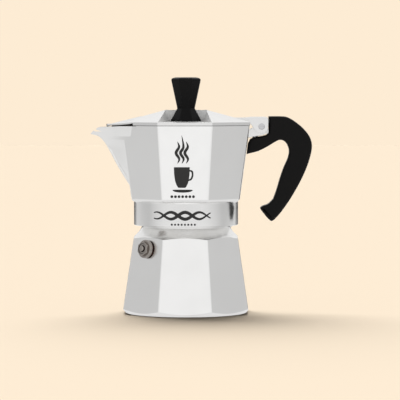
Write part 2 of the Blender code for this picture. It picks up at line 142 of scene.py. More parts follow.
walls = blended(tree, rise.outputs["Result"], below, above)
ceiling = blended(tree, high_up.outputs["Result"], walls, 0.80)
ground = blended(tree, low_down.outputs["Result"], ceiling, 0.76)
room = blended(tree, near_level.outputs["Result"], ground, level_with)
path = wired(tree, "ShaderNodeLightPath").outputs
bounced = wired(tree, "ShaderNodeMapRange", {"Value": path["Diffuse Depth"], "To Min": 1.12, "To Max": 0.15})
studio = wired(tree, "ShaderNodeBackground", {"Color": room, "Strength": bounced.outputs["Result"]})
backdrop = wired(tree, "ShaderNodeBackground", {"Color": (*CREAM, 1.0), "Strength": 1.0})
choice = wired(tree, "ShaderNodeMixShader", {0: path["Is Camera Ray"]})
tree.links.new(studio.outputs[0], choice.inputs[1])
tree.links.new(backdrop.outputs[0], choice.inputs[2])
tree.links.new(choice.outputs[0], wired(tree, "ShaderNodeOutputWorld").inputs["Surface"])

lamp = bpy.data.lights.new("overhead", "SUN")
lamp.angle = math.radians(64)
lamp.energy = 3.54
overhead = bpy.data.objects.new("overhead", lamp)
overhead.rotation_euler = Vector((-0.16, 0.80, 1.0)).to_track_quat("Z", "Y").to_euler()
overhead.visible_glossy = False
bpy.context.collection.objects.link(overhead)

# --- Boiler ------------------------------------------------------------------------------------
# The lower pan that holds the water: an octagonal aluminium casting with its eight faces sanded and
# polished, then turned on a lathe at the foot, the shoulder, the neck and inside. A coarse thread runs up the neck.
MM = 0.001
ACROSS = math.cos(math.pi / 8)
BOILER_HALF, BOILER_TAPER = 42.65, 0.1465
CORNER_ROUND = 1.1
NECK_TOP, PITCH = 70.0, 3.2
THREAD_START, THREAD_TURNS = 58.8, 2.75
FINE = 128
SLIVER = 0.0005 * MM
HAIR = Vector((1.0, -0.7, 0.4)) * 0.0004 * MM
LEAST_LEFT = 0.1  # the share of a piece that any cut leaves
ATTEMPTS = 8


def effect(name, inputs, outputs):
    """An empty node group with those sockets, and its two ends."""
    group = bpy.data.node_groups.new(name, "ShaderNodeTree")
    for socket, kind, value in inputs:
        made = group.interface.new_socket(socket, in_out="INPUT", socket_type=kind)
        if value is not None:
            made.default_value = value
    for socket, kind in outputs:
        group.interface.new_socket(socket, in_out="OUTPUT", socket_type=kind)
    return group, wired(group, "NodeGroupInput").outputs, wired(group, "NodeGroupOutput").inputs


# sanding or tool marks: fine noise, drawn out along one direction by the vector that it is given
marks, given, result = effect("tool_marks", [
    ("Vector", "NodeSocketVector", None), ("Depth", "NodeSocketFloat", 0.1),
    ("Low", "NodeSocketFloat", 0.2), ("High", "NodeSocketFloat", 0.3),
], [("Roughness", "NodeSocketFloat"), ("Normal", "NodeSocketVector")])
grain = wired(marks, "ShaderNodeTexNoise", {"Vector": given["Vector"], "Scale": 1.0, "Detail": 4.0, "Roughness": 0.6})
spread = wired(marks, "ShaderNodeMapRange", {
    "Value": grain.outputs["Fac"], "From Min": 0.3, "From Max": 0.7, "To Min": given["Low"], "To Max": given["High"]})
relief = wired(marks, "ShaderNodeBump", {"Height": grain.outputs["Fac"], "Strength": given["Depth"], "Distance": 0.0001})
marks.links.new(spread.outputs["Result"], result["Roughness"])
marks.links.new(relief.outputs["Normal"], result["Normal"])

# handling: broad, faint clouds where hands and cloths have dulled the surface
handling, given, result = effect("handling", [
    ("Vector", "NodeSocketVector", None), ("Clean", "NodeSocketColor", (1, 1, 1, 1)),
    ("Dull", "NodeSocketColor", (0.9, 0.9, 0.9, 1)), ("Roughness", "NodeSocketFloat", 0.3),
    ("Added", "NodeSocketFloat", 0.03),
], [("Color", "NodeSocketColor"), ("Roughness", "NodeSocketFloat")])
cloud = wired(handling, "ShaderNodeTexNoise", {"Vector": given["Vector"], "Scale": 45.0, "Detail": 3.0, "Roughness": 0.55})
veil = wired(handling, "ShaderNodeMapRange", {"Value": cloud.outputs["Fac"], "From Min": 0.42, "From Max": 0.72})
tint = wired(handling, "ShaderNodeMix", data_type="RGBA")
handling.links.new(veil.outputs["Result"], tint.inputs[0])
handling.links.new(given["Clean"], tint.inputs[6])
handling.links.new(given["Dull"], tint.inputs[7])
more = wired(handling, "ShaderNodeMath", {
    0: veil.outputs["Result"], 1: given["Added"], 2: given["Roughness"]}, operation="MULTIPLY_ADD")
handling.links.new(tint.outputs[2], result["Color"])
handling.links.new(more.outputs[0], result["Roughness"])


def metal(name, clean, dull, low, high, depth, stretch, turned_marks=False):
    """A bare metal with tool marks. stretch scales the marks along X, Y and Z; turned ones use radius and height."""
    made = bpy.data.materials.new(name)
    made.use_nodes = True
    tree = made.node_tree
    shader = tree.nodes["Principled BSDF"]
    shader.inputs["Metallic"].default_value = 1.0
    place = wired(tree, "ShaderNodeTexCoord").outputs["Object"]
    run = place
    if turned_marks:
        split = wired(tree, "ShaderNodeSeparateXYZ", {"Vector": place}).outputs
        plan = wired(tree, "ShaderNodeVectorMath", {0: place, 1: (1, 1, 0)}, operation="MULTIPLY")
        radius = wired(tree, "ShaderNodeVectorMath", {0: plan.outputs[0]}, operation="LENGTH")
        run = wired(tree, "ShaderNodeCombineXYZ", {"X": radius.outputs["Value"], "Z": split["Z"]}).outputs[0]
    mapped = wired(tree, "ShaderNodeMapping", {"Vector": run, "Scale": stretch})
    drawn = wired(tree, "ShaderNodeGroup", node_tree=marks)
    tree.links.new(mapped.outputs[0], drawn.inputs["Vector"])
    drawn.inputs["Depth"].default_value = depth
    drawn.inputs["Low"].default_value = low
    drawn.inputs["High"].default_value = high
    worn = wired(tree, "ShaderNodeGroup", node_tree=handling)
    tree.links.new(place, worn.inputs["Vector"])
    tree.links.new(drawn.outputs["Roughness"], worn.inputs["Roughness"])
    worn.inputs["Clean"].default_value = (*clean, 1.0)
    worn.inputs["Dull"].default_value = (*dull, 1.0)
    tree.links.new(worn.outputs["Color"], shader.inputs["Base Color"])
    tree.links.new(worn.outputs["Roughness"], shader.inputs["Roughness"])
    tree.links.new(drawn.outputs["Normal"], shader.inputs["Normal"])
    return made


polished = metal("polished_casting", (0.90, 0.895, 0.885), (0.88, 0.875, 0.865), 0.22, 0.25, 0.012, (4000, 4000, 250))
lathe = metal("lathe_turned", (0.88, 0.875, 0.865), (0.84, 0.835, 0.825), 0.18, 0.23, 0.03, (6000, 1, 6000), True)
as_cast = metal("as_cast_inside", (0.72, 0.715, 0.70), (0.64, 0.63, 0.61), 0.42, 0.52, 0.25, (3000, 1, 3000), True)


def ring_edges(verts):
    return list({edge for vert in verts for edge in vert.link_edges})


def drawn_up(levels, sides=8):
    """A ring drawn up through levels of (half width, z) and closed at both ends. Eight sides lie flat across X and Y."""
    mesh = bmesh.new()
    half, z = levels[0]
    reach, turn = (half / ACROSS, math.pi / 8) if sides == 8 else (half, 0)
    start = bmesh.ops.create_circle(
        mesh, cap_ends=False, segments=sides, radius=reach,
        matrix=Matrix.Translation((0, 0, z)) @ Matrix.Rotation(turn, 4, "Z"))
    edges = ring_edges(start["verts"])
    for next_half, next_z in levels[1:]:
        grown = bmesh.ops.extrude_edge_only(mesh, edges=edges)["geom"]
        verts = [g for g in grown if isinstance(g, bmesh.types.BMVert)]
        edges = [g for g in grown if isinstance(g, bmesh.types.BMEdge)]
        bmesh.ops.scale(mesh, vec=(next_half / half, next_half / half, 1), verts=verts)
        bmesh.ops.translate(mesh, vec=(0, 0, next_z - z), verts=verts)
        half, z = next_half, next_z
    bmesh.ops.holes_fill(mesh, edges=[e for e in mesh.edges if e.is_boundary])
    bmesh.ops.recalc_face_normals(mesh, faces=mesh.faces)
    return mesh


def rounded(mesh, width, segments, chosen):
    """The edges that chosen picks, given a round of that width."""
    bmesh.ops.bevel(
        mesh, geom=[edge for edge in mesh.edges if chosen(edge)], offset=width, offset_type="OFFSET",
        affect="EDGES", segments=segments, profile=0.5, material=-1)
    return mesh


def upright(edge):
    a, b = (vert.co for vert in edge.verts)
    return abs(b.z - a.z) > 0.6 * (b - a).length


def sharp(edge, least=28):
    return len(edge.link_faces) == 2 and edge.calc_face_angle(0) > math.radians(least)


def spun(profile, sides=FINE, soften=0.0, segments=3):
    """A profile of (radius, z) turned about Z, closed or starting and ending on the axis, its corners softened."""
    mesh = bmesh.new()
    points = [mesh.verts.new((r, 0, z)) for r, z in profile]
    on_axis = profile[0][0] == 0 and profile[-1][0] == 0
    edges = [mesh.edges.new(pair) for pair in zip(points, points[1:] + ([] if on_axis else points[:1]))]
    bmesh.ops.spin(mesh, geom=points + edges, cent=(0, 0, 0), axis=(0, 0, 1), angle=math.tau,
                   steps=sides, use_merge=True)
    bmesh.ops.remove_doubles(mesh, verts=mesh.verts, dist=1e-5)
    bmesh.ops.recalc_face_normals(mesh, faces=mesh.faces)
    if soften:
        rounded(mesh, soften, segments, sharp)
    return mesh


def helix(section, start, turns, steps=72):
    """A closed section of (radius, z) carried up a right-handed thread, tapering off at both ends."""
    mesh = bmesh.new()
    points = [mesh.verts.new((r, 0, start + z)) for r, z in section]
    edges = [mesh.edges.new(pair) for pair in zip(points, points[1:] + points[:1])]
    count = round(turns * steps)
    bmesh.ops.spin(mesh, geom=points + edges, cent=(0, 0, 0), axis=(0, 0, 1), angle=math.tau * turns,
                   dvec=(0, 0, PITCH * turns / count), steps=count)
    bmesh.ops.holes_fill(mesh, edges=[e for e in mesh.edges if e.is_boundary])
    bmesh.ops.recalc_face_normals(mesh, faces=mesh.faces)
    return mesh


def blank(name, mesh, material):
    """The mesh, in millimetres, as an object of that material."""
    bmesh.ops.scale(mesh, vec=(MM, MM, MM), verts=mesh.verts)
    data = bpy.data.meshes.new(name)
    mesh.to_mesh(data)
    mesh.free()
    data.materials.append(material)
    made = bpy.data.objects.new(name, data)
    bpy.context.collection.objects.link(made)
    return made


def solid_size(data):
    """The volume that a mesh encloses, and whether it is closed, once its slivers are taken out."""
    mesh = bmesh.new()
    mesh.from_mesh(data)
    bmesh.ops.remove_doubles(mesh, verts=mesh.verts, dist=SLIVER)
    bmesh.ops.dissolve_degenerate(mesh, edges=mesh.edges, dist=SLIVER)
    mesh.to_mesh(data)
    size = mesh.calc_volume(), not any(edge.is_boundary for edge in mesh.edges)
    mesh.free()
    return size


def worked(piece, operation, tool):
    """One step on the piece, and whether it came out closed, with a volume that it can have."""
    whole, tooled = solid_size(piece.data)[0], solid_size(tool.data)[0]
    low, high = {
        "UNION": (max(whole, tooled), whole + tooled),
        "INTERSECT": (LEAST_LEFT * whole, min(whole, tooled)),
        "DIFFERENCE": (max(whole - tooled, LEAST_LEFT * whole), whole)}[operation]
    step = piece.modifiers.new("step", "BOOLEAN")
    step.operation, step.object = operation, tool
    step.solver, step.material_mode = "EXACT", "TRANSFER"
    graph = bpy.context.evaluated_depsgraph_get()
    data = bpy.data.meshes.new_from_object(piece.evaluated_get(graph))
    piece.modifiers.clear()
    piece.data = data
    made, closed = solid_size(data)
    return closed and 0.999 * low < made < 1.001 * high


def machined(piece, *steps):
    """Each step (operation, tool) is worked on the piece in turn, and the tools are put away.

    If a step goes wrong, all of them are done again on the rough piece, with the tools a hair's breadth off.
    """
    rough = piece.data
    for attempt in range(ATTEMPTS):
        piece.data = rough
        for place, (_, tool) in enumerate(steps):
            tool.location = HAIR * attempt * (place + 1)
        if all(worked(piece, operation, tool) for operation, tool in steps):
            break
    else:
        raise RuntimeError(f"{piece.name} can't be machined")
    for _, tool in steps:
        bpy.data.objects.remove(tool, do_unlink=True)
    return piece


def fitted(piece, body, slot, *nodes, smooth=28):
    """Shading for flats that meet at rounds, and the body and CAD nodes that the piece goes with."""
    piece.data.shade_smooth()
    piece.data.set_sharp_from_angle(angle=math.radians(smooth))
    weighting = piece.modifiers.new("flats", "WEIGHTED_NORMAL")
    weighting.keep_sharp = True
    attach(piece, body)
    if nodes:
        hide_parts(*nodes)
    return piece


def boiler_half(z):
    return BOILER_HALF - BOILER_TAPER * z


facets = rounded(drawn_up([(boiler_half(-1), -1), (boiler_half(72), 72)]), CORNER_ROUND, 5, upright)
pan = blank("boiler_pan", facets, polished)
turning = blank("turning", spun([
    (0, 0.6), (34.0, 0.6), (35.5, 0), (40.5, 0), (41.3, 0.3), (42.4, 1.7), (46.0, 4.0), (50.5, 6.9),
    (50.5, 42.5), (39.6, 50.0), (38.0, 51.2), (35.0, 52.3), (33.4, 53.8), (31.9, 55.4), (30.9, 57.0), (30.2, 58.2),
    (30.1, 59.0), (30.1, 69.4), (29.6, NECK_TOP), (0, NECK_TOP)]), lathe)
hollow = blank("hollow", spun([
    (0, 4.0), (36.4, 4.0), (38.0, 4.8), (38.6, 6.2), (31.5, 50.0), (27.5, 54.0), (27.5, 69.6), (27.9, 70.0),
    (27.9, 72.0), (0, 72.0)]), as_cast)
lean = math.atan(BOILER_TAPER)
outward = Vector((-math.cos(lean) * math.sqrt(0.5), -math.cos(lean) * math.sqrt(0.5), math.sin(lean)))
VALVE_Z = 44.5
valve_seat = Vector((-boiler_half(VALVE_Z) * math.sqrt(0.5), -boiler_half(VALVE_Z) * math.sqrt(0.5), VALVE_Z))
valve_place = Matrix.Translation(valve_seat) @ outward.to_track_quat("Z", "Y").to_matrix().to_4x4()


def drilled(radius, start, end, material, sides=48):
    """A plain round tool from start to end."""
    mesh = bmesh.new()
    start, end = Vector(start), Vector(end)
    bmesh.ops.create_cone(
        mesh, cap_ends=True, segments=sides, radius1=radius, radius2=radius, depth=(end - start).length,
        matrix=Matrix.Translation((start + end) / 2) @ (end - start).to_track_quat("Z", "Y").to_matrix().to_4x4())
    return blank("drill", mesh, material)


machined(pan, ("INTERSECT", turning), ("DIFFERENCE", hollow),
         ("DIFFERENCE", drilled(4.3, valve_seat - 9 * outward, valve_seat + 9 * outward, lathe)))
fitted(pan, "base", "cast_aluminium", "boiler")
neck_thread = blank("boiler_thread", helix(
    ((29.6, -1.3), (31.0, -0.45), (31.2, -0.25), (31.2, 0.25), (31.0, 0.45), (29.6, 1.3)),
    THREAD_START, THREAD_TURNS), lathe)
fitted(neck_thread, "base", "cast_aluminium")

# --- Safety valve ------------------------------------------------------------------------------
# A nickel-plated body screwed into the boiler's wall on a fibre ring: a round flange, a hexagon for the
# spanner and a pressed cap. A spring holds the pin on its seat, and the pin's end shows through the cap.
nickel = metal("dull_nickel", (0.34, 0.31, 0.285), (0.28, 0.25, 0.23), 0.18, 0.24, 0.02, (2500, 2500, 2500))
brass = metal("turned_brass", (0.80, 0.60, 0.30), (0.66, 0.47, 0.22), 0.22, 0.34, 0.08, (3000, 3000, 3000))
steel = metal("zinc_steel", (0.62, 0.62, 0.63), (0.52, 0.52, 0.53), 0.22, 0.34, 0.06, (2500, 2500, 2500))


def plain(name, colour, shade, low, high, depth, scale):
    """A moulded or pressed non-metal with a fine uneven skin."""
    made = bpy.data.materials.new(name)
    made.use_nodes = True
    tree = made.node_tree
    shader = tree.nodes["Principled BSDF"]
    place = wired(tree, "ShaderNodeTexCoord").outputs["Object"]
    skin = wired(tree, "ShaderNodeGroup", node_tree=marks)
    mapped = wired(tree, "ShaderNodeMapping", {"Vector": place, "Scale": (scale, scale, scale)})
    tree.links.new(mapped.outputs[0], skin.inputs["Vector"])
    skin.inputs["Depth"].default_value = depth
    skin.inputs["Low"].default_value = low
    skin.inputs["High"].default_value = high
    worn = wired(tree, "ShaderNodeGroup", node_tree=handling)
    tree.links.new(place, worn.inputs["Vector"])
    tree.links.new(skin.outputs["Roughness"], worn.inputs["Roughness"])
    worn.inputs["Clean"].default_value = (*colour, 1.0)
    worn.inputs["Dull"].default_value = (*shade, 1.0)
    tree.links.new(worn.outputs["Color"], shader.inputs["Base Color"])
    tree.links.new(worn.outputs["Roughness"], shader.inputs["Roughness"])
    tree.links.new(skin.outputs["Normal"], shader.inputs["Normal"])
    return made


fibre = plain("red_fibre", (0.36, 0.09, 0.05), (0.26, 0.07, 0.045), 0.7, 0.9, 0.3, 2500)


def at_valve(mesh):
    """The mesh moved from its own axis to the valve's."""
    mesh.transform(valve_place)
    return mesh


boss = drawn_up([(5.0, 2.4), (5.0, 4.6), (4.7, 4.9)], 6)
rounded(boss, 0.35, 3, upright)
valve_nut = blank("valve_nut", at_valve(spun([
    (0, -6.5), (4.0, -6.5), (4.0, 1.0), (6.2, 1.0), (6.2, 2.7), (5.7, 3.2), (0, 3.2)], 64, 0.15)), nickel)
machined(valve_nut,
         ("UNION", blank("boss", at_valve(boss), nickel)),
         ("DIFFERENCE", blank("bore", at_valve(spun([
             (0, -8), (1.6, -8), (1.6, -4.0), (2.9, -4.0), (2.9, 2.4), (3.5, 2.4), (3.5, 6), (0, 6)], 64)), nickel)))
fitted(valve_nut, "base", "nickel_plate", "valve_body")
valve_ring = blank("valve_ring", at_valve(spun([(4.3, 0.3), (5.1, 0.3), (5.1, 0.7), (4.3, 0.7)], 64, 0.1)), fibre)
fitted(valve_ring, "base", "red_fibre", "valve_washer")
valve_end = blank("valve_end", at_valve(spun([
    (2.1, 2.8), (3.2, 2.8), (3.2, 4.6), (2.4, 4.6), (2.1, 4.3)], 64, 0.1)), nickel)
fitted(valve_end, "base", "nickel_plate", "valve_cap")
valve_pin = blank("valve_pin", at_valve(spun([
    (0, -3.7), (2.5, -3.7), (2.5, -2.7), (1.1, -2.7), (1.1, 2.0), (1.8, 2.0), (1.8, 5.4), (1.5, 5.8), (0.8, 6.0),
    (0, 6.0)], 48, 0.1)), nickel)
fitted(valve_pin, "plunger", "nickel_plate", "valve_plunger")
COIL_TURNS, COIL_RISE, COIL_STEPS = 4, 3.1, 128
wire = bmesh.new()
loop = bmesh.ops.create_circle(
    wire, cap_ends=False, segments=10, radius=0.25,
    matrix=Matrix.Translation((1.85, 0, -2.1)) @ Matrix.Rotation(math.pi / 2, 4, "X"))["verts"]
bmesh.ops.spin(
    wire, geom=loop + ring_edges(loop), cent=(0, 0, 0), axis=(0, 0, 1), angle=math.tau * COIL_TURNS,
    dvec=(0, 0, COIL_RISE / COIL_STEPS), steps=COIL_STEPS)
bmesh.ops.holes_fill(wire, edges=[e for e in wire.edges if e.is_boundary])
bmesh.ops.recalc_face_normals(wire, faces=wire.faces)
fitted(blank("valve_coil", at_valve(wire), steel), "plunger", "steel", "valve_spring")

# --- Funnel and its screen ---------------------------------------------------------------------
# A basket and stem spun from thin aluminium sheet, hung by its flange on the boiler's neck, with a
# perforated disc pressed into its floor.
sheet_metal = metal("spun_sheet", (0.80, 0.79, 0.77), (0.72, 0.71, 0.69), 0.28, 0.38, 0.12, (4000, 1, 4000), True)
flange = NECK_TOP + 0.3
funnel_shell = blank("funnel_shell", spun([
    (30.0, flange), (25.6, flange), (25.6, 50.0), (4.6, 45.5), (4.6, 9.3), (3.9, 9.3), (3.9, 46.0), (24.9, 50.5),
    (24.9, flange + 0.8), (30.0, flange + 0.8)], 96, 0.25), sheet_metal)
fitted(funnel_shell, "funnel_set", "spun_aluminium", "funnel")


def perforated(name, radius, low, high, hole, spacing, rows):
    """A disc of sheet with rings of punched holes, six more in each ring than in the one inside it."""
    disc = blank(name, spun([(0, low), (radius, low), (radius, high), (0, high)], 96, 0.15), sheet_metal)
    punches = bmesh.new()
    for row in range(rows + 1):
        for i in range(max(1, 6 * row)):
            out = Matrix.Translation((row * spacing, 0, (low + high) / 2))
            place = Matrix.Rotation(math.tau * i / max(1, 6 * row), 4, "Z") @ out
            bmesh.ops.create_cone(
                punches, cap_ends=True, segments=12, radius1=hole, radius2=hole, depth=4, matrix=place)
    return machined(disc, ("DIFFERENCE", blank("punches", punches, sheet_metal)))


fitted(perforated("funnel_sieve", 24.5, 50.9, 51.6, 0.45, 3.4, 6), "funnel_set", "spun_aluminium", "funnel_screen")

# --- Gasket and filter plate -------------------------------------------------------------------
# A white rubber ring pressed into the collector's underside, and the perforated plate that it holds there.
rubber = plain("white_rubber", (0.80, 0.77, 0.70), (0.72, 0.67, 0.57), 0.55, 0.7, 0.15, 1500)
gasket_ring = blank("gasket_ring", spun([(24.8, 71.4), (31.4, 71.4), (31.4, 74.4), (24.8, 74.4)], 96, 0.5), rubber)
fitted(gasket_ring, "seal", "white_rubber", "gasket")
fitted(perforated("filter_disc", 27.4, 74.75, 75.45, 0.45, 3.7, 6), "seal", "spun_aluminium", "filter_plate")

# --- Collector ---------------------------------------------------------------------------------
# The upper pot: a second octagonal casting that widens upwards, with a turned skirt that screws onto
# the boiler, a spout drawn out of the facet opposite the handle, and a lug for the lid's hinge.
RIM, RIM_HALF, FOOT_HALF = 127.3, 43.2, 36.9
SKIRT_R, SKIRT_BOTTOM = 35.4, 59.7
TIP_X, TIP_Z, LIP_Z = 64.6, 121.5, 127.0
PIN_X, PIN_Z, PIN_R = 51.3, 126.7, 1.5
LUG_HALF = 5.95


def collector_half(z):
    return FOOT_HALF + (RIM_HALF - FOOT_HALF) * (z - 80.5) / (RIM - 80.5)


def flowing(points, steps=6):
    """Points on a smooth curve through the given ones, which keeps both ends."""
    padded = [points[0], *points, points[-1]]
    path = []
    for a, b, c, d in zip(padded, padded[1:], padded[2:], padded[3:]):
        for i in range(steps):
            t = i / steps
            path.append(tuple(
                0.5 * (2 * q + (r - p) * t + (2 * p - 5 * q + 4 * r - s) * t * t + (3 * q - p - 3 * r + s) * t ** 3)
                for p, q, r, s in zip(a, b, c, d)))
    return path + [points[-1]]


def between(table, at):
    """Straight between the rows of (at, value)."""
    for (low, first), (high, second) in zip(table, table[1:]):
        if at <= high:
            return first + (second - first) * (at - low) / (high - low)
    return table[-1][1]


# the spout's levels, as (z, distance): its keel, how far the flat of each side would run, and its fold with the facet
SWELL = [(84, 36.6), (86, 37.6), (88, 38.9), (90, 40.2), (100, 46.4), (108.5, 50.9), (115.5, 54.9)]
KEEL = flowing(SWELL + [(120, 59.3), (TIP_Z, TIP_X)]) + [(RIM, 65.5)]
FLARE = flowing(SWELL + [(RIM, 66.0)])
FOLD = flowing([(84, 15.4), (97, 16.4), (102, 18.2), (110, 20.6), (118, 23.1), (RIM, 26.0)])
INSET = [(84, 1.4), (90, 0.2), (RIM, 0.15)]
BEAK = [(84, 1.2), (100, 2.0), (110, 2.6), (119, 3.2), (TIP_Z, 4.0), (130, 4.0)]
TROUGH = [(93, 37.5), (97, 41.0), (101, 43.8), (108.5, 48.0), (115.5, 51.9), (119, 54.6),
          (121, 57.4), (122.3, 61.0), (123.4, 66.5), (130, 67.5)]


def fold_at(z):
    """Where the spout's side leaves the collector's facets, as (x, y)."""
    y, half = between(FOLD, z), collector_half(z)
    return min(half, half * math.sqrt(2) - y) - between(INSET, z), y


def beak_half(x, z):
    """Half the spout's outer width at a distance x from the pot's axis."""
    x0, y0 = fold_at(z)
    x1 = between(FLARE, z)
    return y0 + (between(BEAK, z) - y0) * (x - x0) / (x1 - x0)


def spout_side(z):
    front, (x, y) = between(KEEL, z), fold_at(z)
    nose = max(min(1.6, 0.4 * (front - x)), front - between(FLARE, z))
    back = front - nose
    wide = beak_half(back, z)
    end = max(0.4, wide - 1.2)
    return [(20.0, y), (x, y)] + [
        (back + nose * math.sin(a), end + (wide - end) * math.cos(a))
        for a in (0, math.pi / 6, math.pi / 3, math.pi / 2)]


def trough_side(z):
    front, (x, y) = between(TROUGH, z), fold_at(z)
    wide = max(0.9, beak_half(min(front, 61.0), min(z, RIM)) - 2.6)
    return [(20.0, max(0.8, y - 3.4)), (x - 2.4, max(0.8, y - 3.4)), (front - 1.2, wide + 0.6), (front, wide * 0.5)]


def ringed(rings, mesh=None):
    """Rings of points, each bridged to the next and closed at both ends, in a new mesh or the one given."""
    mesh = mesh or bmesh.new()
    loops = []
    for ring in rings:
        points = [mesh.verts.new(point) for point in ring]
        loops.append([mesh.edges.new(pair) for pair in zip(points, points[1:] + points[:1])])
    for low, high in zip(loops, loops[1:]):
        bmesh.ops.bridge_loops(mesh, edges=low + high)
    bmesh.ops.holes_fill(mesh, edges=[e for e in mesh.edges if e.is_boundary])
    bmesh.ops.recalc_face_normals(mesh, faces=mesh.faces)
    return mesh


def bridged(sides_at, heights):
    """Level outlines, mirrored over X and drawn together."""
    rings = [(z, sides_at(z)) for z in heights]
    return ringed([[(-x, -y, z) for x, y in side] + [(-x, y, z) for x, y in reversed(side)] for z, side in rings])


def profile_plate(outline, low, high, soften=0.0, segments=4):
    """An outline of (x, z) as a face, extruded along Y from low to high, its rim softened."""
    mesh = bmesh.new()
    face = mesh.faces.new([mesh.verts.new((x, low, z)) for x, z in outline])
    grown = bmesh.ops.extrude_face_region(mesh, geom=[face])["geom"]
    bmesh.ops.translate(mesh, vec=(0, high - low, 0), verts=[g for g in grown if isinstance(g, bmesh.types.BMVert)])
    bmesh.ops.recalc_face_normals(mesh, faces=mesh.faces)
    if soften:
        rounded(mesh, soften, segments, lambda e: abs(e.verts[0].co.y - e.verts[1].co.y) < 1e-6)
    return mesh


body = drawn_up([(collector_half(75.9), 75.9), (RIM_HALF, RIM)])
rounded(body, CORNER_ROUND, 5, upright)
rounded(body, 2.4, 6, lambda e: max(v.co.z for v in e.verts) < 76.0 and sharp(e))
pot = blank("collector_pot", body, polished)
keel_heights = sorted({z for z, _ in KEEL})
spout = blank("spout", bridged(spout_side, keel_heights), polished)
skirt = blank("skirt", spun([
    (0, SKIRT_BOTTOM), (34.8, SKIRT_BOTTOM), (SKIRT_R, SKIRT_BOTTOM + 0.5), (SKIRT_R, 75.2), (35.1, 75.6), (35.1, 77.5),
    (0, 77.5)]), lathe)
LUG_R = 4.3
lug_round = [
    (PIN_X + LUG_R * math.cos(math.radians(d)), PIN_Z + LUG_R * math.sin(math.radians(d))) for d in range(-40, 181, 10)]
lug = blank("lug", profile_plate(lug_round + [
    (42.3, 124.4), (40.5, 124.4), (40.5, 119.2), (43.5, 119.2), (46.1, 119.9), (52.2, 120.8), (54.0, 121.6)],
    -LUG_HALF, LUG_HALF, 0.4, 3), polished)
stem = blank("stem", profile_plate([
    (50.0, 121.2), (54.0, 121.9), (61.5, 120.2), (61.5, 124.6), (54.5, 125.4), (50.0, 125.0)], -1.9, 1.9), polished)
inside = drawn_up([(31.8, 78.5), (collector_half(80.5) - 2.7, 80.5), (collector_half(140) - 2.7, 140)])
rounded(inside, 3.0, 5, upright)
machined(
    pot, ("UNION", skirt), ("UNION", spout), ("UNION", lug), ("UNION", stem),
    ("DIFFERENCE", blank("bore", spun([
        (0, 58), (32.3, 58), (32.3, 59.7), (31.75, 60.6), (31.75, 74.7), (27.8, 74.7), (27.8, 75.8), (0, 75.8)]), lathe)),
    ("DIFFERENCE", drilled(6.2, (0, 0, 74), (0, 0, 80), lathe)),
    ("DIFFERENCE", drilled(PIN_R + 0.3, (PIN_X, -9, PIN_Z), (PIN_X, 9, PIN_Z), lathe)),
    ("DIFFERENCE", drilled(2.2, (47.0, 0, 117), (47.0, 0, 124.2), lathe)),
    ("DIFFERENCE", blank("inside", inside, as_cast)),
    ("DIFFERENCE", blank("trough", bridged(trough_side, [z for z, _ in TROUGH]), as_cast)),
    ("DIFFERENCE", blank("lip", profile_plate([(-70.0, 120.9), (-TIP_X, 121.9)] + flowing([
        (-64.2, 122.4), (-62.3, 124.3), (-59.3, 126.1), (-56.5, 126.3), (-51.0, 126.6), (-44.0, LIP_Z)]) + [
        (-33.0, LIP_Z), (-33.0, 140.0), (-70.0, 140.0)], -40, 40), polished)))
fitted(pot, "upper", "cast_aluminium", "collector", smooth=38)
FOLD_LOW, FOLD_REACH = 88, 2.0


def on_fold(point):
    """Whether a point lies where the spout's side meets a facet, an edge too shallow for its angle to mark it."""
    across, along, z = (v / MM for v in point)
    x, y = fold_at(z)
    return FOLD_LOW < z < RIM + 1 and math.hypot(-across - x, abs(along) - y) < FOLD_REACH


for edge in pot.data.edges:
    if all(on_fold(pot.data.vertices[i].co) for i in edge.vertices):
        edge.use_edge_sharp = True
skirt_thread = blank("skirt_thread", helix(
    ((32.2, -0.95), (30.7, -0.45), (30.55, -0.3), (30.55, 0.3), (30.7, 0.45), (32.2, 0.95)),
    THREAD_START + 1.5 * PITCH - 0.6, 2.0), lathe)
fitted(skirt_thread, "upper", "cast_aluminium")

# --- Column ------------------------------------------------------------------------------------
# The tube that coffee rises through, pressed into the collector's floor, closed on top with a window on each side.
tube = blank("riser", spun([
    (0, 110.4), (3.4, 110.2), (4.7, 76.2), (5.9, 76.2), (5.9, 78.8), (7.6, 78.8), (5.2, 111.0), (4.4, 112.0),
    (2.5, 112.3), (0, 112.3)], 64), sheet_metal)
window = bmesh.new()
bmesh.ops.create_cube(window, size=1, matrix=Matrix.Translation((0, 0, 106)) @ Matrix.Diagonal((3.6, 18, 5, 1)))
machined(tube, ("DIFFERENCE", blank("window", window, sheet_metal)))
fitted(tube, "upper", "spun_aluminium", "column")

# --- Lid ---------------------------------------------------------------------------------------
# A thin aluminium casting: a low eight-sided roof with a recess for the knob that opens to the front, a beak
# over the spout, and a level pad with two ears that hold the hinge pin.
LID_HALF, LID_BOTTOM, LID_EDGE, LID_SLOPE, SHEET = 43.5, 127.6, 129.7, 0.277, 1.4
SEAT_R, SEAT_FLOOR, SEAT_DRAFT = 11.6, 129.9, 0.36
EAR_IN, EAR_OUT = 6.3, 8.8


def seat(grow, low):
    """The knob's recess, its walls leaning outwards."""
    rings = []
    for z in (low, 150):
        out = grow + SEAT_DRAFT * (z - low)
        side = [(19.2 + out, -50, z), (SEAT_R + out, -10, z)]
        turns = [math.pi * i / 32 for i in range(33)]
        back = [((SEAT_R + out) * math.cos(a), (SEAT_R + out) * math.sin(a), z) for a in turns]
        rings.append(side + back + [(-x, y, z) for x, y, z in reversed(side)])
    return ringed(rings)


def roof(half, low, edge):
    """The lid's eight sides, rising from their edge to a flat top, with softened corners and hips."""
    mesh = drawn_up([(half, low), (half, edge), (8.0, edge + LID_SLOPE * (half - 8.0))])
    return rounded(mesh, 0.6, 4, lambda e: upright(e) or (
        sharp(e, 10) and max(v.co.z for v in e.verts) > edge + 0.1 > min(v.co.z for v in e.verts)))


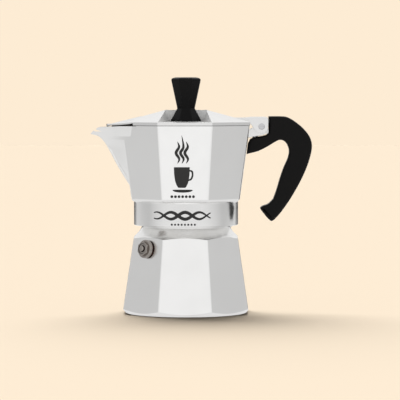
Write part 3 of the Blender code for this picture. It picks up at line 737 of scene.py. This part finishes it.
cover = blank("lid_sheet", roof(LID_HALF, LID_BOTTOM, LID_EDGE), polished)
under = blank("under", roof(LID_HALF - 2.3, 127, LID_EDGE - SHEET + LID_SLOPE * 2.3), as_cast)
# a dark metal for the rib under the beak: its colour is painted shade, standing in for the shadow in the gap under the
# beak
gap_shade_metal = metal("painted_gap_shade", (0.26, 0.24, 0.22), (0.20, 0.18, 0.16), 0.45, 0.55, 0.1, (2000, 2000, 2000))
satin = metal("satin_casting", (0.90, 0.895, 0.885), (0.88, 0.875, 0.865), 0.55, 0.62, 0.02, (4000, 4000, 4000))
machined(under,
         ("UNION", blank("pad_under", profile_plate([
             (32.4, 131.3), (41.2, 131.3), (41.2, 127.2), (32.4, 127.2)], 1.4 - EAR_OUT, EAR_OUT - 1.4), as_cast)),
         ("DIFFERENCE", blank("seat", seat(SHEET, SEAT_FLOOR - SHEET), as_cast)))
BEAK_ROWS = [  # distance from the pot's axis, half width, height of the edge's underside
    (30.5, 21.0, 130.3), (32.5, 23.0, 129.9), (35.0, 23.4, 129.2), (38.0, 21.6, 128.5), (44.0, 16.8, 127.9),
    (48.0, 13.0, 127.6), (51.0, 9.4, 127.5), (53.0, 6.0, 127.45), (54.0, 2.6, 127.4)]


def ridge_at(x):
    return 130.8 - 0.25 * (x - 42.0)


beak = ringed([
    [(-x, -w, edge), (-x, 0, ridge_at(x) - 1.3), (-x, w, edge),
     (-x, w, edge + 1.0), (-x, 0, ridge_at(x)), (-x, -w, edge + 1.0)]
    for x, w, edge in flowing(BEAK_ROWS, 3)])
mouth = bmesh.new()
bmesh.ops.create_cube(mouth, size=1, matrix=Matrix.Translation((-47.6, 0, 130)) @ Matrix.Diagonal((24.8, 120, 20, 1)))
EAR = flowing([
    (43.9, 133.2), (48.0, 133.2), (52.5, 133.2), (55.0, 132.9), (55.8, 131.4), (55.8, 127.6), (55.3, 124.6),
    (53.8, 122.7), (51.4, 122.1), (49.0, 122.6), (46.9, 124.1), (45.3, 126.4), (43.9, 128.4)], 4) + [
    (39.2, 129.0), (39.2, 132.7), (42.5, 132.9)]
machined(cover,
         ("UNION", blank("hinge_pad", profile_plate([
             (29.0, 131.5), (31.2, 132.7), (42.5, 132.7), (42.5, 128.6), (29.0, 128.6)], -EAR_OUT, EAR_OUT), polished)),
         ("DIFFERENCE", blank("seat", seat(0, SEAT_FLOOR), satin)), ("DIFFERENCE", under),
         ("DIFFERENCE", blank("mouth", mouth, polished)),
         ("UNION", blank("beak", beak, polished)),
         ("UNION", blank("ear", profile_plate(EAR, EAR_IN, EAR_OUT, 0.4, 3), polished)),
         ("UNION", blank("ear", profile_plate(EAR, -EAR_OUT, -EAR_IN, 0.4, 3), polished)),
         ("DIFFERENCE", drilled(PIN_R + 0.3, (PIN_X, -12, PIN_Z), (PIN_X, 12, PIN_Z), lathe)),
         ("DIFFERENCE", drilled(2.0, (0, 0, 126), (0, 0, 132), lathe)))
fitted(cover, "cover", "cast_aluminium", "lid")
# the low rib under the beak, in a dark metal that paints the shade of the gap between the beak and the spout
beak_rib = blank("beak_rib", profile_plate([
    (-50.5, 126.4), (-32.0, 126.4), (-32.0, 132.3), (-50.5, 128.1)], -0.8, 0.8), gap_shade_metal)
fitted(beak_rib, "cover", "cast_aluminium")

# --- Knob and its fixings ----------------------------------------------------------------------
# A black phenolic moulding, eight-sided with a crisp waist, on a brass insert. A slotted screw with a
# washer holds it from inside the lid.
phenolic = plain("black_phenolic", (0.006, 0.006, 0.0065), (0.008, 0.0078, 0.0076), 0.30, 0.36, 0.02, 900)
phenolic.node_tree.nodes["Principled BSDF"].inputs["Specular IOR Level"].default_value = 0.11
shape = drawn_up([
    (10.1, 130.2), (10.3, 130.4), (10.3, 130.9), (6.15, 138.6), (5.95, 138.9), (6.0, 139.3), (9.85, 157.5),
    (9.9, 158.0), (9.85, 158.7), (9.5, 159.2), (8.6, 159.6), (7.0, 160.0)])
rounded(shape, 0.8, 4, upright)
grip = blank("knob_grip", shape, phenolic)
machined(grip, ("DIFFERENCE", blank("socket", spun([(0, 128), (3.3, 128), (3.3, 139.6), (0, 139.6)], 48), phenolic)))
fitted(grip, "cover", "black_phenolic", "knob")
bush = blank("knob_bush", spun([(1.9, 130.5), (3.0, 130.5), (3.0, 139.2), (1.9, 139.2)], 48, 0.15), brass)
fitted(bush, "cover", "brass", "knob_insert")
ring = blank("knob_ring", spun([(2.0, 127.3), (4.5, 127.3), (4.5, 128.2), (2.0, 128.2)], 64, 0.15), steel)
fitted(ring, "cover", "steel", "knob_washer")


def slotted(name, levels, slot_z):
    """A turned screw with a slot across its head."""
    made = blank(name, spun(levels, 48, 0.12), steel)
    tool = bmesh.new()
    bmesh.ops.create_cube(tool, size=1, matrix=Matrix.Translation((0, 0, slot_z)) @ Matrix.Diagonal((10, 0.8, 1.6, 1)))
    return machined(made, ("DIFFERENCE", blank("slot", tool, steel)))


knob_bolt = slotted("knob_bolt", [
    (0, 124.9), (2.4, 124.9), (3.4, 125.9), (3.4, 127.0), (1.6, 127.0), (1.6, 137.0), (1.1, 137.6), (0, 137.6)], 124.9)
fitted(knob_bolt, "cover", "steel", "knob_screw")

# --- Hinge pin ---------------------------------------------------------------------------------
# A plain steel rivet through the lid's two ears and the collector's lug, headed at both ends.
rivet = spun([
    (0, -9.8), (1.5, -9.8), (1.9, -9.65), (2.1, -9.4), (2.1, -9.1), (PIN_R, -9.1), (PIN_R, 9.1), (2.1, 9.1), (2.1, 9.4),
    (1.9, 9.65), (1.5, 9.8), (0, 9.8)], 48)
rivet.transform(Matrix.Translation((PIN_X, 0, PIN_Z)) @ Matrix.Rotation(math.pi / 2, 4, "X"))
fitted(blank("hinge_rivet", rivet, steel), "upper", "steel", "hinge_pin")

# --- Handle ------------------------------------------------------------------------------------
# A black phenolic moulding that forks round the collector's lug, bends down in one curve and kicks
# inwards at its tip. A slotted screw holds its lower prong to the lug.
HANDLE_HALF, SCREW_X = 6.0, 47.0
OUTER = [(56.0, 133.6), (64.3, 133.6), (68.8, 133.0), (73.8, 130.2), (79.6, 125.4), (84.0, 119.6), (85.5, 113.6),
         (84.4, 106.4), (81.2, 97.0), (76.4, 87.0), (70.3, 76.6), (64.3, 68.2), (60.0, 63.4)]
TOE = [(60.0, 63.4), (57.8, 62.5), (54.9, 65.1), (51.6, 69.2), (50.4, 71.3), (52.1, 72.8), (55.8, 74.2), (59.2, 77.6)]
INNER = [(59.2, 77.6), (61.5, 84.0), (63.8, 91.8), (66.3, 99.0), (69.0, 105.2), (69.9, 110.0), (68.7, 114.4),
         (66.2, 117.0), (63.7, 117.5), (61.2, 116.6), (55.2, 113.0), (49.1, 110.0), (41.1, 107.9)]
PRONG = [(42.05, 115.3), (43.6, 118.2), (46.1, 119.4), (52.2, 120.3), (54.4, 121.0), (56.0, 122.4)]
hold = profile_plate(flowing(OUTER, 5)[:-1] + flowing(TOE, 5)[:-1] + flowing(INNER, 5) + PRONG,
                     -HANDLE_HALF, HANDLE_HALF, 2.2, 5)
arm = blank("handle_arm", hold, phenolic)
slit = bmesh.new()
bmesh.ops.create_cube(slit, size=1, matrix=Matrix.Translation((55.95, 0, 123.0)) @ Matrix.Diagonal((11.9, 4.4, 6.4, 1)))
machined(arm, ("DIFFERENCE", blank("slit", slit, phenolic)),
         ("DIFFERENCE", drilled(2.2, (SCREW_X, 0, 105), (SCREW_X, 0, 122), phenolic)),
         ("DIFFERENCE", drilled(3.7, (SCREW_X, 0, 105), (SCREW_X, 0, 112.2), phenolic)))
fitted(arm, "upper", "black_phenolic", "handle")
arm_bolt = slotted("handle_bolt", [
    (0, 109.7), (2.4, 109.7), (3.3, 110.5), (3.3, 111.8), (1.85, 111.8), (1.85, 123.2), (1.3, 123.8), (0, 123.8)], 109.8)
arm_bolt.data.transform(Matrix.Translation((SCREW_X * MM, 0, 0)))
fitted(arm_bolt, "upper", "steel", "handle_screw")

# --- Printed marks -----------------------------------------------------------------------------
# Black enamel printed on the collector's front: a steaming cup over a row of dots on the facet, and a wavy
# flourish over a row of dots round the skirt. Each mark is a skin of paint a few hundredths of a millimetre thick.
enamel = plain("black_enamel", (0.012, 0.012, 0.012), (0.016, 0.016, 0.016), 0.45, 0.55, 0.02, 900)


PAINT = 0.05


def on_facet(x, z, out):
    """A point on the front facet, out on the paint's skin or sunk below the metal."""
    return (x, -collector_half(z) - (PAINT if out else -PAINT), z)


def on_skirt(x, z, out):
    """The same on the round skirt."""
    return (x, -math.sqrt((SKIRT_R + (PAINT if out else -PAINT)) ** 2 - x * x), z)


def stroke(mesh, on, path):
    """One mark along rows of (x, z, half width), as wide to each side of its path, laid on a surface."""
    rings = []
    for i, (x, z, half) in enumerate(path):
        (x0, z0, _), (x1, z1, _) = path[max(0, i - 1)], path[min(len(path) - 1, i + 1)]
        long = math.hypot(x1 - x0, z1 - z0)
        dx, dz = -(z1 - z0) / long * half, (x1 - x0) / long * half
        rings.append([
            on(x + dx, z + dz, False), on(x - dx, z - dz, False), on(x - dx, z - dz, True), on(x + dx, z + dz, True)])
    ringed(rings, mesh)


def dot(mesh, on, x, z, radius):
    """A round mark."""
    turns = [math.pi * i / 8 for i in range(9)]
    stroke(mesh, on, [(x + radius * math.cos(a), z, max(0.04, radius * math.sin(a))) for a in turns])


MIDDLE = -1.6
SAUCER = [(-6.6, 84.6, 0.3), (-4.5, 84.2, 0.8), (0.0, 84.0, 1.0), (4.5, 84.2, 0.8), (6.6, 84.6, 0.3)]
CUP = [(-0.5, 86.2, 2.2), (-0.5, 87.4, 3.2), (-0.5, 90.5, 4.4), (-0.5, 95.0, 5.1), (-0.5, 100.0, 5.3)]
CUP_HANDLE = [(4.2, 97.6, 0.5), (6.2, 97.2, 0.6), (6.6, 94.6, 0.6), (5.6, 92.0, 0.6), (3.6, 91.2, 0.5)]
facet_print = bmesh.new()
for rows in (SAUCER, CUP, CUP_HANDLE):
    stroke(facet_print, on_facet, flowing([(MIDDLE + x, z, half) for x, z, half in rows]))
for shift, top in ((-3.4, 117.0), (-0.5, 121.0), (2.4, 117.0)):
    stroke(facet_print, on_facet, flowing([
        (MIDDLE + shift, 102.5, 0.15), (MIDDLE + shift + 1.2, 105.5, 0.75), (MIDDLE + shift - 0.9, 109.5, 1.0),
        (MIDDLE + shift + 1.1, 113.5, 0.8), (MIDDLE + shift, top, 0.15)]))
for i in range(7):
    dot(facet_print, on_facet, MIDDLE - 7.2 + 2.4 * i, 80.3, 0.95)
fitted(blank("facet_mark", facet_print, enamel), "upper", None)
skirt_print = bmesh.new()
for phase in (0, math.pi):
    stroke(skirt_print, on_skirt, [
        (x, 67.5 + 2.3 * math.cos(x * 0.33 + phase), 0.35 + 0.75 * math.sin(math.pi * (x + 21) / 38))
        for x in (-21 + 0.95 * i for i in range(41))])
for i in range(8):
    dot(skirt_print, on_skirt, -8.9 + 2.2 * i, 61.5, 0.7)
fitted(blank("skirt_mark", skirt_print, enamel), "upper", None)
